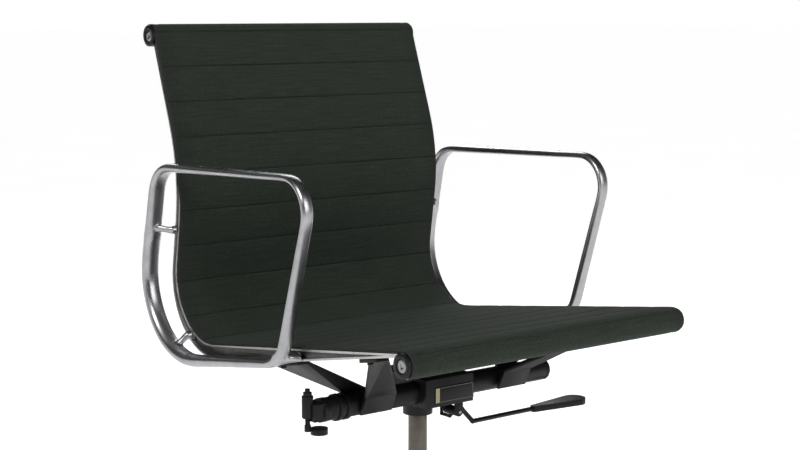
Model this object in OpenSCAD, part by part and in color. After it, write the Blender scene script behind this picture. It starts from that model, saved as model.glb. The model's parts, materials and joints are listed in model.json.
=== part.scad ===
// Swivel office armchair: a padded sling held between two aluminium side ribs,
// closed-loop armrests, a torsion tilt tube, a gas column and a five-star base.
// Millimetres. +Z is up, the floor is Z = 0, the column axis is X = Y = 0 and
// the sitter faces -Y.

/* [Seat shell] */
// Width over the outer faces of the two side ribs
rib_span = 488; // [420:2:560]
// Width of one rib, measured along X
rib_w = 7.7; // [6:0.1:10]
// Thickness of the rib's web and flanges
rib_wall = 3; // [2:0.1:3.6]
// How far the padded face stands in front of the ribs
sling_proud = 3; // [1:0.5:5]
// Thickness of the padded sling
sling_t = 7; // [4:0.5:8]
// Gap between soft or flat neighbours
seat_gap = 0.3; // [0.2:0.05:0.5]
// Centre of the front roll, front to back
front_roll_y = -277; // [-320:1:-240]
// Height of the front roll's centre
front_roll_z = 460; // [440:1:520]
// Outer radius of the padded front roll
front_roll_r = 18; // [15:0.5:22]
// Outer radius of the padded top roll
top_roll_r = 17.5; // [15:0.5:22]
// Fall of the seat towards the back, in degrees
seat_pitch = 8.1; // [4:0.1:11]
// Length of the flat part of the seat
seat_run = 449; // [400:1:480]
// Radius of the curve between seat and back
bend_r = 89; // [70:1:105]
// Forward lean of the lower back, in degrees
lower_lean = 8.5; // [4:0.1:11]
// Length of the lower back below the lumbar curve
lower_run = 66; // [40:1:90]
// Radius of the lumbar curve
lumbar_r = 305; // [260:1:380]
// Recline of the upper back, in degrees
recline = 19.5; // [14:0.1:24]
// Length of the flat upper back
upper_run = 143; // [110:1:200]

/* [Arms] */
// From a rib's outer face to the middle of its armrest
arm_gap = 25; // [18:1:45]
// Height of the armrest's middle line above the floor, at the back
arm_z = 667; // [630:1:720]

/* [Mechanism] */
// Distance of the tilt axis in front of the column
tilt_y = -45; // [-50:1:-42]
// Height of the tilt axis
tilt_z = 352; // [350:1:354]
// Outer diameter of the tilt tube
tilt_tube_d = 33; // [28:0.5:34]
// Wall of the tilt tube
tilt_tube_wall = 3.5; // [2:0.5:5]
// Length of the tilt tube to the left of the column
tube_left = 200; // [190:1:206]
// Length of the tilt tube to the right of the column
tube_right = 202; // [180:1:224]
// Half width of the mechanism housing
housing_hw = 44; // [40:1:50]
// Radial clearance of every running fit
run_clear = 0.05; // [0.02:0.01:0.09]

/* [Column] */
// Diameter of the gas cylinder
cylinder_d = 28; // [26:0.5:30]
// Diameter of the piston rod
rod_d = 10; // [8:0.5:12]
// Outer diameter of the column's outer sleeve
sleeve_d = 50; // [46:0.5:54]
// Height of the sleeve's top above the floor
sleeve_top = 240; // [225:1:245]

/* [Base] */
// Radius of the circle through the caster stems
stem_circle_r = 310; // [280:1:350]
// Diameter of the caster stems
stem_d = 11; // [10:0.5:12]
// Diameter of the caster wheels
wheel_d = 50; // [44:1:56]
// Distance from a caster's stem to its axle
trail = 18; // [14:1:22]

/* [Hidden] */
$fn = 48;

black_steel = [0.09, 0.09, 0.09];
polished = [0.72, 0.72, 0.71];
dark_fabric = [0.15, 0.17, 0.15];
black_plastic = [0.06, 0.06, 0.06];

rib_out = rib_span / 2;
rib_in = rib_out - rib_w;

// ---- The seat curve: runs of the padded face, seen from the side as (Y, Z) ----

rad = PI / 180;
bend_turn = 90 + lower_lean + seat_pitch;
lumbar_turn = -(lower_lean + recline);
// Each run is [length, turn in degrees, steps]
RUNS = [
    [seat_run, 0, 10],
    [bend_r * bend_turn * rad, bend_turn, 14],
    [lower_run, 0, 3],
    [lumbar_r * -lumbar_turn * rad, lumbar_turn, 8],
    [upper_run, 0, 5]
];
path_length = sum([for (run = RUNS) run[0]]);

function sum(v, i = 0) = i == len(v) ? 0 : v[i] + sum(v, i + 1);
function roll_edge(centre, r, angle) = centre + r * [cos(angle), sin(angle)];

// A place on the curve is [y, z, heading, distance along it]
front_roll = [front_roll_y, front_roll_z];
path_start = concat(roll_edge(front_roll, front_roll_r, 90 - seat_pitch), [-seat_pitch, 0]);

function advance(p, run, turn) =
    let (h = p[2], r = turn == 0 ? 0 : run / (turn * rad))
    turn == 0
        ? [p[0] + run * cos(h), p[1] + run * sin(h), h, p[3] + run]
        : [p[0] + r * (sin(h + turn) - sin(h)), p[1] - r * (cos(h + turn) - cos(h)), h + turn, p[3] + run];
function walk(p, i = 0) = i == len(RUNS) ? [p] : concat(
    [for (k = [0:RUNS[i][2] - 1]) advance(p, RUNS[i][0] * k / RUNS[i][2], RUNS[i][1] * k / RUNS[i][2])],
    walk(advance(p, RUNS[i][0], RUNS[i][1]), i + 1));
// The place a given distance along the curve
function place(s, p = path_start, i = 0) =
    i == len(RUNS) - 1 || s <= RUNS[i][0]
        ? advance(p, s, RUNS[i][1] * s / RUNS[i][0])
        : place(s - RUNS[i][0], advance(p, RUNS[i][0], RUNS[i][1]), i + 1);
// A point behind, or under, the padded face
function behind(p, d) = [p[0] + d * sin(p[2]), p[1] - d * cos(p[2])];
function reversed(v) = [for (i = [len(v) - 1:-1:0]) v[i]];

PATH = walk(path_start);
path_end = PATH[len(PATH) - 1];
top_roll = behind(path_end, top_roll_r);

// Depth of the rib behind its front edge, by distance along the curve
bend_end = seat_run + RUNS[1][0];
RIB_DEPTHS = [
    [0, 4], [0.2 * seat_run, 9], [0.53 * seat_run, 17], [0.7 * seat_run, 22], [seat_run, 22],
    [seat_run + 0.5 * RUNS[1][0], 17], [bend_end, 12], [bend_end + lower_run, 11], [path_length, 10]
];
function rib_back(s) = sling_proud + lookup(s, RIB_DEPTHS);

// Draws a (Y, Z) outline from x0 to x1
module along_x(x0, x1) { translate([x0, 0, 0]) rotate([90, 0, 90]) linear_extrude(x1 - x0) children(); }
// A round bar along X at (y, z)
module rod_x(x0, x1, r, y, z) { translate([x0, y, z]) rotate([0, 90, 0]) cylinder(r = r, h = x1 - x0); }
// A round bar along Y at (x, z)
module rod_y(y0, y1, r, x, z) { translate([x, y0, z]) rotate([-90, 0, 0]) cylinder(r = r, h = y1 - y0); }
// A round bar along Z at the column axis
module rod_z(z0, z1, r) { translate([0, 0, z0]) cylinder(r = r, h = z1 - z0); }
module tube_z(z0, z1, r, bore) { difference() { rod_z(z0, z1, r); rod_z(z0 - 1, z1 + 1, bore); } }
// A round bar between two points
module bar(p, q, r) {
    d = q - p;
    translate(p) rotate([0, acos(d[2] / norm(d)), atan2(d[1], d[0])]) cylinder(r = r, h = norm(d));
}
// A bent round rod through a list of points, with a ball a little fatter than the rod at each bend
knuckle = 0.3;
module bent_rod(points, r) {
    for (i = [0:len(points) - 2]) bar(points[i], points[i + 1], r);
    for (i = [1:len(points) - 2]) translate(points[i]) sphere(r = r + knuckle);
}
module block(low, high) { translate(low) cube(high - low); }
module both_sides() { children(); mirror([1, 0, 0]) children(); }

// ---- Ribs ----

// The band of the rib's side between two depths behind the padded face
module rib_band(shallow, deep) {
    polygon(concat(
        [for (p = PATH) behind(p, shallow(p[3]))],
        reversed([for (p = PATH) behind(p, deep(p[3]))])));
}
rib_front = function(s) sling_proud;
rib_rear = function(s) rib_back(s);
flange_front_end = function(s) min(sling_proud + rib_wall, rib_back(s));
flange_rear_start = function(s) max(rib_back(s) - rib_wall, sling_proud);

roll_boss_w = 4.7;
screw_r = 2.5;
roll_wall = 2;
spigot_l = 12;
function roll_bore(r) = r - sling_t - seat_gap - roll_wall;

// Bolt places along the curve and behind the face: upper stud, lower stud, foot
stud_r = 3;
stretcher_r = 5;
stud_depth = sling_t + seat_gap + stretcher_r;
STUD_PLACES = [bend_end + 53, seat_run + 0.37 * RUNS[1][0], 0.53 * seat_run];
STUDS = [for (s = STUD_PLACES) behind(place(s), stud_depth)];
// Where the four support brackets meet the rib, by distance along the curve
FRONT_PAD = [55, 92];
REAR_PAD = [234, 318];
function pad_bolt(pad) = place((pad[0] + pad[1]) / 2);
pad_bolt_r = 2.2;
pad_bolt_depth = 6;

module rib() {
    color(polished) difference() {
        union() {
            along_x(rib_in, rib_in + rib_wall) rib_band(rib_front, rib_rear);
            along_x(rib_in, rib_out) rib_band(rib_front, flange_front_end);
            along_x(rib_in, rib_out) rib_band(flange_rear_start, rib_rear);
            roll_end(front_roll, front_roll_r);
            roll_end(top_roll, top_roll_r);
            for (p = STUDS) rod_x(rib_in, rib_out, stud_r + 4, p[0], p[1]);
        }
        for (p = STUDS) rod_x(rib_in - 1, rib_out + 1, stud_r + run_clear, p[0], p[1]);
        for (c = [front_roll, top_roll])
            rod_x(rib_in - spigot_l - 1, rib_out, screw_r + 0.1, c[0], c[1]);
        for (pad = [FRONT_PAD, REAR_PAD]) pad_screw(pad, pad_bolt_r + run_clear, 1, pad_bolt_depth);
        rod_x(cap_in, rib_out + 1, front_roll_r - cap_inset + seat_gap, front_roll[0], front_roll[1]);
        rod_x(cap_in, rib_out + 1, top_roll_r - cap_inset + seat_gap, top_roll[0], top_roll[1]);
    }
}
// The round end of the rib and the spigot that carries the roll's tube
module roll_end(c, r) {
    rod_x(rib_in, rib_in + roll_boss_w, r - 1, c[0], c[1]);
    rod_x(rib_in - spigot_l, rib_in, roll_bore(r) - run_clear, c[0], c[1]);
}
module rib_right() { rib(); }
module rib_left() { mirror([1, 0, 0]) rib(); }

// A screw's shank at a bracket pad, from below the rib's edge up into it
module pad_screw(pad, r, below, depth) {
    p = pad_bolt(pad);
    low = behind(p, rib_back(p[3]) + below);
    x = (rib_in + rib_out) / 2;
    translate([x, low[0], low[1]]) rotate([p[2], 0, 0]) cylinder(r = r, h = below + depth);
}

// ---- Rolls, caps and sling ----

module roll_tube(c, r) {
    bore = roll_bore(r);
    color(polished) difference() {
        rod_x(-rib_in + seat_gap, rib_in - seat_gap, bore + roll_wall, c[0], c[1]);
        rod_x(-rib_in, rib_in, bore, c[0], c[1]);
    }
}
module front_roll_tube() { roll_tube(front_roll, front_roll_r); }
module top_roll_tube() { roll_tube(top_roll, top_roll_r); }

cap_out = rib_out + 4;
cap_in = rib_in + roll_boss_w;
cap_inset = 1.5;
cap_socket_r = 9;
cap_socket_depth = 3;
hex_r = 3.4;
module end_cap(c, r) {
    difference() {
        rod_x(cap_in, cap_out, r - cap_inset, c[0], c[1]);
        rod_x(cap_out - cap_socket_depth, cap_out + 1, cap_socket_r, c[0], c[1]);
        rod_x(cap_in - 1, cap_out, screw_r + 0.1, c[0], c[1]);
    }
}
module end_caps() {
    color(black_plastic) both_sides() {
        end_cap(front_roll, front_roll_r);
        end_cap(top_roll, top_roll_r);
    }
}
module cap_screw(c) {
    head_in = cap_out - cap_socket_depth;
    difference() {
        union() {
            rod_x(head_in, head_in + 2, cap_socket_r - 0.4, c[0], c[1]);
            rod_x(rib_in - spigot_l + 1, head_in, screw_r, c[0], c[1]);
        }
        translate([head_in + 0.6, c[0], c[1]]) rotate([0, 90, 0]) cylinder(r = hex_r, h = 3, $fn = 6);
    }
}
module cap_screws() {
    color(polished) both_sides() {
        cap_screw(front_roll);
        cap_screw(top_roll);
    }
}

// Where the fabric ends under the front roll and behind the top roll
front_wrap_end = 255;
top_wrap_end = -60;
wrap_steps = 14;
function wrap(c, r, a0, a1) =
    [for (k = [0:wrap_steps]) roll_edge(c, r, a0 + (a1 - a0) * k / wrap_steps)];
// One skin of the sling: around the front roll, along the curve, over the top roll
function skin(d) = concat(
    wrap(front_roll, front_roll_r - d, front_wrap_end, 90 - seat_pitch),
    [for (i = [1:len(PATH) - 2]) behind(PATH[i], d)],
    wrap(top_roll, top_roll_r - d, 90 + path_end[2], top_wrap_end));
module sling() {
    color(dark_fabric) along_x(-rib_in + seat_gap, rib_in - seat_gap)
        polygon(concat(skin(0), reversed(skin(sling_t))));
}

// ---- Stretchers between the ribs ----

stretcher_gap = 0.1;
stud_l = 12;
module stretcher(p) {
    x = rib_in - stretcher_gap;
    color(polished) difference() {
        rod_x(-x, x, stretcher_r, p[0], p[1]);
        both_sides() rod_x(x - stud_l - 1, x + 1, stud_r + run_clear, p[0], p[1]);
    }
}
module back_stretcher() { stretcher(STUDS[0]); }
module seat_stretcher() { stretcher(STUDS[1]); }

// ---- Arms ----

arm_x = rib_out + arm_gap;
bend_centre = behind(place(seat_run), -bend_r);
// Corners of the arm's middle line, from the front foot up and round:
// [y, z, corner radius, width along X, thickness]
ARM_FOOT = [STUDS[2][0] - 4, STUDS[2][1] - 7, 50, 20, 13];
ARM_CORNERS = [
    ARM_FOOT,
    [ARM_FOOT[0] - 79, arm_z + 12, 45, 18, 10],
    [bend_centre[0] + 94, arm_z - 1, 50, 26, 13],
    [bend_centre[0] + 162, bend_centre[1] - 138, 115, 26, 18]
];
ARM_STRAIGHT_STEPS = 6;
ARM_ARC_STEPS = 8;
ARM_SIDES = 14;
function unit(v) = v / norm(v);
function yz(c) = [c[0], c[1]];
// The rounded corner i of the loop: its points and section sizes
function arm_arc(i) =
    let (n = len(ARM_CORNERS), c = ARM_CORNERS[i], to_last = unit(yz(ARM_CORNERS[(i + n - 1) % n]) - yz(c)),
        to_next = unit(yz(ARM_CORNERS[(i + 1) % n]) - yz(c)), half = acos(to_last * to_next) / 2,
        middle = yz(c) + unit(to_last + to_next) * c[2] / sin(half), swing = 90 - half,
        mid_angle = atan2(-(to_last + to_next)[1], -(to_last + to_next)[0]),
        sense = cross(to_last, to_next) > 0 ? -1 : 1)
    [for (k = [0:ARM_ARC_STEPS]) let (a = mid_angle + sense * swing * (2 * k / ARM_ARC_STEPS - 1))
        concat(roll_edge(middle, c[2], a), [c[3], c[4]])];
// Points between one corner's arc and the next
function arm_straight(i) =
    let (p = arm_arc(i)[ARM_ARC_STEPS], q = arm_arc((i + 1) % len(ARM_CORNERS))[0])
    [for (k = [1:ARM_STRAIGHT_STEPS - 1]) p + (q - p) * k / ARM_STRAIGHT_STEPS];
ARM_LINE = [for (i = [0:len(ARM_CORNERS) - 1]) each concat(arm_arc(i), arm_straight(i))];
// A rounded section: a circle pushed towards its box
function section(w, t, a) =
    let (c = cos(a), s = sin(a)) [w / 2 * sign(c) * pow(abs(c), 0.7), t / 2 * sign(s) * pow(abs(s), 0.7)];
module arm_loop() {
    n = len(ARM_LINE);
    points = [for (i = [0:n - 1]) let (p = ARM_LINE[i],
        along = unit(yz(ARM_LINE[(i + 1) % n]) - yz(ARM_LINE[(i + n - 1) % n])), out = [-along[1], along[0]])
        for (k = [0:ARM_SIDES - 1]) let (e = section(p[2], p[3], 360 * k / ARM_SIDES))
            [arm_x + e[0], p[0] + out[0] * e[1], p[1] + out[1] * e[1]]];
    faces = [for (i = [0:n - 1]) for (k = [0:ARM_SIDES - 1])
        let (a = i * ARM_SIDES, b = (i + 1) % n * ARM_SIDES, l = (k + 1) % ARM_SIDES)
        [a + k, a + l, b + l, b + k]];
    polyhedron(points, faces);
}
arm_pad_w = 7;
arm_pad_r = 6.5;
// Ends of the two rear studs on the arm's middle line
ARM_STUD_ENDS = [
    [STUDS[0][0] + 33, STUDS[0][1]],
    [STUDS[1][0] + 7, STUDS[1][1] - 20]
];
module arm() {
    pad_x = rib_out + arm_pad_w;
    color(polished) difference() {
        union() {
            arm_loop();
            for (i = [0, 1]) {
                rod_x(rib_out, pad_x + 3, arm_pad_r, STUDS[i][0], STUDS[i][1]);
                bar([pad_x, STUDS[i][0], STUDS[i][1]], [arm_x, ARM_STUD_ENDS[i][0], ARM_STUD_ENDS[i][1]], 6);
            }
            rod_x(rib_out, arm_x, arm_pad_r + 2.5, STUDS[2][0], STUDS[2][1]);
        }
        for (p = STUDS) rod_x(rib_out - 1, rib_out + arm_pad_w, stud_r + run_clear, p[0], p[1]);
        // Keeps the slanting studs clear of the rib
        block([0, STUDS[1][0] - 60, STUDS[1][1] - 60], [rib_out, STUDS[0][0] + 60, STUDS[0][1] + 60]);
    }
}
module arm_right() { arm(); }
module arm_left() { mirror([1, 0, 0]) arm(); }
module arm_studs() {
    color(polished) both_sides() {
        for (p = STUDS) rod_x(rib_in - stud_l, rib_out + arm_pad_w - 1, stud_r, p[0], p[1]);
        foot = STUDS[2];
        rod_x(rib_in - 5, rib_in - 0.1, stud_r + 2, foot[0], foot[1]);
    }
}

// ---- Tilt tube and what is fixed to it ----

tube_r = tilt_tube_d / 2;
tube_bore = tube_r - tilt_tube_wall;
cap_l = 10;
cap_round = 6;
plug_l = 8;
module tilt_rod(x0, x1, r) { rod_x(x0, x1, r, tilt_y, tilt_z); }
module tilt_ring(x0, x1, r, bore) { difference() { tilt_rod(x0, x1, r); tilt_rod(x0 - 1, x1 + 1, bore); } }
module pivot_tube() { color(black_steel) tilt_ring(-tube_left, tube_right, tube_r, tube_bore); }
module tube_end_cap() {
    color(black_plastic) {
        translate([tube_right, tilt_y, tilt_z]) rotate([0, 90, 0])
            rotate_extrude() polygon(concat([[0, 0], [tube_r, 0]],
                [for (a = [0:15:90]) roll_edge([tube_r - cap_round, cap_l - cap_round], cap_round, a)],
                [[0, cap_l]]));
        tilt_rod(tube_right - plug_l, tube_right, tube_bore - run_clear);
    }
}
collar_w = 7;
collar_t = 2.5;
COLLARS = [tube_left - 35, tube_left - 22];
module tube_collars() {
    color(black_steel) for (x = COLLARS) tilt_ring(-x - collar_w, -x, tube_r + collar_t, tube_r);
}
bar_r = 6;
bar_end_l = 14;
module torsion_bar() {
    bar_right = tube_right - plug_l - 4;
    color(black_steel) {
        tilt_rod(-tube_left, bar_right, bar_r);
        tilt_rod(-tube_left, -tube_left + bar_end_l, tube_bore - run_clear);
        tilt_rod(bar_right - bar_end_l, bar_right, tube_bore - run_clear);
    }
}

// The lug at the tube's left end, with the upright bearing of the tension crank
lug_l = 10;
lug_half_y = 14;
lug_half_z = 12;
lug_slope = 55;
crank_x = -tube_left - 28;
crank_r = 3.5;
crank_low = tilt_z - 22;
crank_top = tilt_z + 33;
barrel_r = 8;
barrel_low = tilt_z - 7;
barrel_high = tilt_z + 23;
module tension_block() {
    lug_mid = -tube_left - 2 * lug_l;
    color(black_steel) difference() {
        union() {
            tilt_rod(-tube_left - lug_l, -tube_left, tube_r + 0.5);
            block([crank_x + 2, tilt_y - lug_half_y, tilt_z - lug_half_z],
                [-tube_left - lug_l + 2, tilt_y + lug_half_y, tilt_z + lug_half_z]);
            translate([crank_x, tilt_y, barrel_low]) cylinder(r = barrel_r, h = barrel_high - barrel_low);
        }
        translate([crank_x, tilt_y, tilt_z - lug_half_z - 1])
            cylinder(r = crank_r + run_clear, h = barrel_high - tilt_z + lug_half_z + 2);
        // The lug's sloping underside
        translate([lug_mid, tilt_y - lug_half_y - 1, tilt_z - lug_half_z - 1])
            rotate([0, lug_slope, 0]) translate([0, 0, -40]) cube([30, 2 * lug_half_y + 2, 40]);
    }
}
knob_r = 12;
knob_h = 8.4;
knob_offset = [15, -6, -5];
crank_hub_h = 9;
crank_ring_h = 5;
module tension_crank() {
    foot = [crank_x, tilt_y, crank_low];
    knob = foot + knob_offset;
    color(black_steel) {
        translate(foot) cylinder(r = crank_r, h = crank_top - crank_low);
        translate([crank_x, tilt_y, barrel_high + seat_gap]) cylinder(r = crank_r + 2.5, h = crank_ring_h);
        translate(foot - [0, 0, crank_hub_h / 2]) cylinder(r = crank_r + 1, h = crank_hub_h);
        bar(foot, knob, crank_r - 0.5);
        translate(knob - [0, 0, knob_h / 2]) cylinder(r = knob_r, h = knob_h);
    }
}

// ---- Support brackets from the tube to the ribs ----

pad_t = 5;
pad_gap = 0.2;
pad_in = rib_out - 20;
// The flat pad under a rib; its upper edge follows the rib's lower edge
module pad_plate(pad) {
    steps = 4;
    edge = [for (k = [0:steps]) place(pad[0] + (pad[1] - pad[0]) * k / steps)];
    along_x(pad_in, rib_out) polygon(concat(
        [for (p = edge) behind(p, rib_back(p[3]) + pad_gap)],
        reversed([for (p = edge) behind(p, rib_back(p[3]) + pad_gap + pad_t)])));
}
// The pad's lower inner edge, where the plate starts
module pad_edge(pad) {
    low = behind(place(pad[1]), rib_back(pad[1]) + pad_gap + pad_t);
    high = behind(place(pad[0]), rib_back(pad[0]) + pad_gap + pad_t);
    along_x(pad_in, pad_in + 5) polygon([low, high, high + [0, 2], low + [0, 2]]);
}
plate_t = 5;
weld_gap = 0.1;
module support(pad, foot) {
    color(black_steel) difference() {
        union() {
            pad_plate(pad);
            hull() { pad_edge(pad); foot_bar(foot); }
            if (foot[4] > 0) hull() { foot_bar(foot); foot_toe(foot); }
        }
        pad_screw(pad, pad_bolt_r + run_clear, pad_t + 2, 1);
        tilt_rod(-tube_left, tube_right, tube_r + weld_gap);
        for (x = COLLARS)
            tilt_rod(x - weld_gap, x + collar_w + weld_gap, tube_r + collar_t + weld_gap);
    }
}
// A foot is [inner x, outer x, y, z of its upper edge, depth of its toe]
module foot_bar(f) { block([f[0], f[2] - plate_t, f[3]], [f[1], f[2], f[3] + 4]); }
module foot_toe(f) { block([f[0], f[2] - plate_t + 12, f[3] - f[4]], [f[1], f[2] + 12, f[3] - f[4] + 2]); }
FRONT_FOOT = [100, 153, tilt_y - tube_r - 12, tilt_z + 14, 26];
REAR_FOOT = [122, 160, tilt_y + 12, tilt_z + tube_r - 3, 0];
module front_support_right() { support(FRONT_PAD, FRONT_FOOT); }
module front_support_left() { mirror([1, 0, 0]) support(FRONT_PAD, FRONT_FOOT); }
module rear_support_right() { support(REAR_PAD, REAR_FOOT); }
module rear_support_left() { mirror([1, 0, 0]) support(REAR_PAD, REAR_FOOT); }
module support_bolts() {
    head_h = 3;
    color(black_steel) both_sides() for (pad = [FRONT_PAD, REAR_PAD]) {
        pad_screw(pad, pad_bolt_r, pad_gap + pad_t + head_h, pad_bolt_depth - 1);
        pad_screw(pad, pad_bolt_r + 2, pad_gap + pad_t + head_h, -pad_gap - pad_t - seat_gap);
    }
}

// ---- Mechanism housing ----

column_r = cylinder_d / 2;
wall = 3;
housing_front = tilt_y - 29;
housing_rear = 40;
housing_low = tilt_z - 19;
housing_high = tilt_z + 22;
boss_r = column_r + 8;
boss_low = housing_low - 26;
boss_high = housing_low + 12;
bush_wall = 2.5;
bush_w = 10;
bush_r = tube_r + run_clear + bush_wall;
// The release finger passes through this slot in the floor
finger_x = 30;
finger_y = -boss_r + 2;
slot = [[finger_x - 8, finger_y - 5], [finger_x + 7, finger_y + 7]];
module mechanism_housing() {
    color(black_steel) difference() {
        union() {
            difference() {
                block([-housing_hw, housing_front, housing_low], [housing_hw, housing_rear, housing_high]);
                block([-housing_hw + wall, housing_front + wall, housing_low + wall],
                    [housing_hw - wall, housing_rear - wall, housing_high - wall]);
            }
            rod_z(boss_low, boss_high, boss_r);
            both_sides() tilt_rod(housing_hw - bush_w, housing_hw, bush_r + 2);
        }
        rod_z(boss_low - 1, boss_high + 1, column_r);
        tilt_rod(-housing_hw - 1, housing_hw + 1, bush_r);
        block([slot[0][0], slot[0][1], housing_low - 1], [slot[1][0], slot[1][1], housing_low + wall + 1]);
    }
}
module pivot_bushes() {
    color(black_plastic) both_sides() tilt_ring(housing_hw - bush_w, housing_hw, bush_r, tube_r + run_clear);
}
label_t = 1.2;
module label_plate() {
    color(black_plastic)
        block([-28, housing_front - label_t, tilt_z - 14], [housing_hw, housing_front, tilt_z + 10]);
}

// ---- Height lever and release pin ----

lever_z = tilt_z - 37;
lever_pin_r = 2.5;
ear_w = 4;
ear_front = tilt_y - 15;
ear_rear = tilt_y + 11;
lever_rod_r = 3.5;
ear_r = 7;
module lever_bracket() {
    color(black_steel) difference() {
        for (y = [ear_front, ear_rear]) union() {
            block([finger_x - ear_r, y, lever_z], [finger_x + ear_r, y + ear_w, housing_low]);
            rod_y(y, y + ear_w, ear_r, finger_x, lever_z);
        }
        rod_y(ear_front - 1, ear_rear + ear_w + 1, lever_pin_r, finger_x, lever_z);
    }
}
module lever_pin() {
    color(polished) rod_y(ear_front - 2, ear_rear + ear_w + 2, lever_pin_r, finger_x, lever_z);
}
finger_r = 2.5;
finger_tip_z = boss_high + 9;
paddle_x = [192, 294];
paddle_w = 36;
paddle_t = 9;
paddle_hole = 20;
paddle_tip_r = 6;
finger_drop = ear_r + finger_r + 1;
paddle_z = lever_z - 23;
module lever_rod() {
    barrel = [ear_front + ear_w + seat_gap, ear_rear - seat_gap];
    mid = [finger_x, (barrel[0] + barrel[1]) / 2, lever_z];
    outer = [mid + [5, 0, 0], mid + [17, 0, -1], [finger_x + 38, mid[1], paddle_z],
        [paddle_x[0] + paddle_hole, mid[1], paddle_z]];
    inner = [mid - [0, 0, 4], [finger_x, ear_rear - 4, lever_z - finger_drop],
        [finger_x, finger_y + 1, lever_z - finger_drop],
        [finger_x, finger_y + 1, finger_tip_z], [0, 0, finger_tip_z]];
    color(black_steel) difference() {
        union() {
            rod_y(barrel[0], barrel[1], ear_r, finger_x, lever_z);
            bent_rod(outer, lever_rod_r);
            bent_rod(inner, finger_r);
        }
        rod_y(barrel[0] - 1, barrel[1] + 1, lever_pin_r + run_clear, finger_x, lever_z);
    }
}
module lever_paddle() {
    y = (ear_front + ear_rear + ear_w) / 2;
    color(black_plastic) difference() {
        translate([0, y, paddle_z - paddle_t / 2]) linear_extrude(paddle_t) hull() {
            translate([paddle_x[0], 0]) circle(r = paddle_tip_r);
            translate([paddle_x[1] - paddle_w / 2, 0]) circle(r = paddle_w / 2);
        }
        rod_x(paddle_x[0] - paddle_tip_r - 1, paddle_x[0] + paddle_hole, lever_rod_r, y, paddle_z);
    }
}
pin_top = finger_tip_z - finger_r - 0.2;
pin_r = 3;
module release_pin() { color(polished) rod_z(boss_high - 12, pin_top, pin_r); }

// ---- Gas column ----

cylinder_low = 115;
cylinder_bore = column_r - 2;
cylinder_end = 8;
rod_r = rod_d / 2;
sleeve_low = 45;
sleeve_floor = 4;
bearing_h = 6;
piston_top = 196;
piston_h = 10;
// Rest height of the release pin's hole floor
pin_floor = boss_high - 16;
module gas_cylinder() {
    color([0.3, 0.28, 0.26]) difference() {
        rod_z(cylinder_low, boss_high, column_r);
        rod_z(cylinder_low + cylinder_end, pin_floor - 8, cylinder_bore);
        rod_z(cylinder_low - 1, cylinder_low + cylinder_end + 1, rod_r + run_clear);
        rod_z(pin_floor, boss_high + 1, pin_r + run_clear);
    }
}
module piston_rod() {
    color(polished) {
        rod_z(sleeve_low - 6, piston_top, rod_r);
        rod_z(piston_top - piston_h, piston_top, cylinder_bore - run_clear);
        rod_z(sleeve_low + sleeve_floor + bearing_h, sleeve_low + sleeve_floor + bearing_h + 2, rod_r + 3);
    }
}
module rod_clip() { color(black_steel) tube_z(sleeve_low - 3.3, sleeve_low - seat_gap, rod_r + 4, rod_r); }
module thrust_bearing() {
    low = sleeve_low + sleeve_floor;
    color(polished) tube_z(low, low + bearing_h - 0.1, rod_r + 9, rod_r + run_clear);
}
bush_outer = column_r + 5;
bush_low = sleeve_top - 60;
module guide_bush() { color(black_plastic) tube_z(bush_low, sleeve_top, bush_outer, column_r + run_clear); }
module column_sleeve() {
    color(black_steel) difference() {
        rod_z(sleeve_low, sleeve_top, sleeve_d / 2);
        rod_z(sleeve_low + sleeve_floor, sleeve_top + 1, bush_outer);
        rod_z(sleeve_low - 1, sleeve_low + sleeve_floor + 1, rod_r + run_clear);
    }
}

// ---- Five-star base and casters ----

legs = 5;
hub_r = sleeve_d / 2 + 11;
hub_low = 52;
hub_high = 112;
leg_end_r = 15;
leg_low = 58;
leg_high = 84;
stem_depth = leg_high - leg_low - 4;
stem_r = stem_d / 2;
module on_leg(k) { rotate([0, 0, -90 + 360 / legs * (k - 1)]) children(); }
module leg() {
    root = [16, hub_low + 10, hub_high - 6];
    tip = [11, leg_low + 4, leg_high - 2];
    hull() {
        block([hub_r - 12, -root[0], root[1]], [hub_r - 8, root[0], root[2]]);
        block([stem_circle_r - 4, -tip[0], tip[1]], [stem_circle_r, tip[0], tip[2]]);
    }
    translate([stem_circle_r, 0, leg_low]) cylinder(r = leg_end_r, h = leg_high - leg_low);
}
module base_star() {
    color(polished) difference() {
        union() {
            rod_z(hub_low, hub_high, hub_r);
            for (k = [1:legs]) on_leg(k) leg();
        }
        rod_z(hub_low - 1, hub_high + 1, sleeve_d / 2);
        for (k = [1:legs]) on_leg(k) translate([stem_circle_r, 0, leg_low - 1])
            cylinder(r = stem_r + run_clear, h = stem_depth + 1);
    }
}

wheel_r = wheel_d / 2;
web_t = 9;
wheel_w = 17;
wheel_gap = 0.4;
hood_r = wheel_r + 5;
hood_t = 2.6;
axle_r = 3;
hood_w = web_t + 2 * (wheel_w + wheel_gap) + 2;
neck_r = stem_r + 4;
neck_high = leg_low - 1.5;
stem_top = leg_low + stem_depth - 2;
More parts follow.
